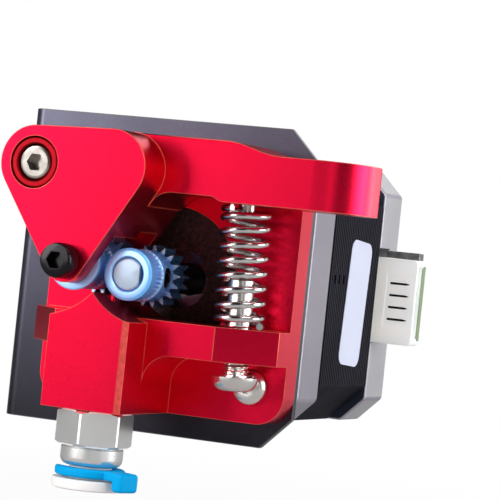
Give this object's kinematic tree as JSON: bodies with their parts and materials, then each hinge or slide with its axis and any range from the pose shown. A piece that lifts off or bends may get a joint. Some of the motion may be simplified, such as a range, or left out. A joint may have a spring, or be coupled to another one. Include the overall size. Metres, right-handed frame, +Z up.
{
  "type": "filament extruder",
  "caption": "Geared filament extruder: a spring-loaded lever presses a geared idler against a motor-driven gear, on a stepper motor with an L-shaped bracket.",
  "frame": {"origin": "centre of the motor's flat rear face, on the motor shaft's axis", "axes": "+Y along the shaft axis out of the motor's rear face, so the gears are at -Y; +Z up, away from the tube fitting; +X towards the lever's handle"},
  "size_m": [0.0637, 0.0776, 0.0583],
  "materials": {
    "red_anodised": "satin red anodised aluminium with bright machined edges",
    "bracket_coating": "dark grey satin powder coat",
    "cast_aluminium": "smooth satin die-cast aluminium",
    "lamination": "black stacked steel laminations",
    "label": "blank pale matt film label",
    "ground_steel": "finely ground steel",
    "gear_steel": "bright steel with a cool sheen",
    "bright_steel": "bright nickel-plated steel",
    "spring_steel": "bright drawn spring wire",
    "black_oxide": "black oxide steel, slightly oily",
    "copper_winding": "enamelled copper wire",
    "translucent_plastic": "milky translucent nylon",
    "white_plastic": "satin white plastic",
    "blue_plastic": "smooth bright blue plastic",
    "nickel_plate": "satin nickel-plated brass",
    "seal_rubber": "black rubber",
    "magnet": "dark sintered magnet"
  },
  "bodies": {
    "motor_and_base": {"motor_front_cap": "cast_aluminium", "motor_stator": "lamination", "motor_rear_cap": "cast_aluminium", "motor_label": "label", "front_bearing": "ground_steel", "rear_bearing": "ground_steel", "bearing_wave_washer": "ground_steel", "connector_housing": "translucent_plastic", "motor_coil_1": "copper_winding", "motor_coil_2": "copper_winding", "motor_coil_3": "copper_winding", "motor_coil_4": "copper_winding", "motor_coil_5": "copper_winding", "motor_coil_6": "copper_winding", "motor_coil_7": "copper_winding", "motor_coil_8": "copper_winding", "connector_pin_1": "ground_steel", "connector_pin_2": "ground_steel", "connector_pin_3": "ground_steel", "connector_pin_4": "ground_steel", "motor_case_screw_1": "bright_steel", "motor_case_screw_2": "bright_steel", "motor_case_screw_3": "bright_steel", "motor_case_screw_4": "bright_steel", "mounting_bracket": "bracket_coating", "extruder_base": "red_anodised", "base_screw_lower_right": "bright_steel", "base_screw_lower_left": "bright_steel", "base_screw_upper_right": "bright_steel", "pivot_bushing": "red_anodised", "pivot_screw": "bright_steel", "spring": "spring_steel", "tension_screw": "bright_steel", "fitting_body": "nickel_plate", "fitting_seal": "seal_rubber"},
    "shaft": {"motor_shaft": "ground_steel", "rotor_core_front": "lamination", "rotor_magnet": "magnet", "rotor_core_rear": "lamination", "drive_gear": "gear_steel", "drive_gear_set_screw": "black_oxide"},
    "lever": {"idler_lever": "red_anodised", "idler_axle_screw": "black_oxide", "thrust_washer_front": "ground_steel", "thrust_washer_rear": "ground_steel", "spring_locating_pin": "bright_steel"},
    "idler": {"idler_gear": "gear_steel", "idler_needle_bearing_front": "ground_steel", "idler_needle_bearing_rear": "ground_steel"},
    "collet": {"tube_collet": "white_plastic", "collet_grip_ring": "ground_steel"},
    "clip": {"collet_clip": "blue_plastic"}
  },
  "joints": [
    {"name": "shaft_spin", "type": "hinge", "parent": "motor_and_base", "child": "shaft", "pos_m": [0, -0.0545, 0], "axis": [0, 1, 0], "continuous": true},
    {"name": "lever_pivot", "type": "hinge", "parent": "motor_and_base", "child": "lever", "pos_m": [-0.0155, -0.0552, 0.0155], "axis": [0, 1, 0], "range_deg": [0, 8], "deforming": ["spring"]},
    {"name": "idler_spin", "type": "hinge", "parent": "lever", "child": "idler", "pos_m": [-0.00875, -0.0545, 0.00105], "axis": [0, 1, 0], "continuous": true},
    {"name": "collet_slide", "type": "slide", "parent": "motor_and_base", "child": "collet", "axis": [0, 0, 1], "range_m": [0, 0.0003]},
    {"name": "clip_slide", "type": "slide", "parent": "motor_and_base", "child": "clip", "axis": [0.9397, -0.342, 0], "range_m": [0, 0.01]}
  ],
  "couplings": [
    {"joint": "idler_spin", "follows": "shaft_spin", "ratio": -1}
  ]
}
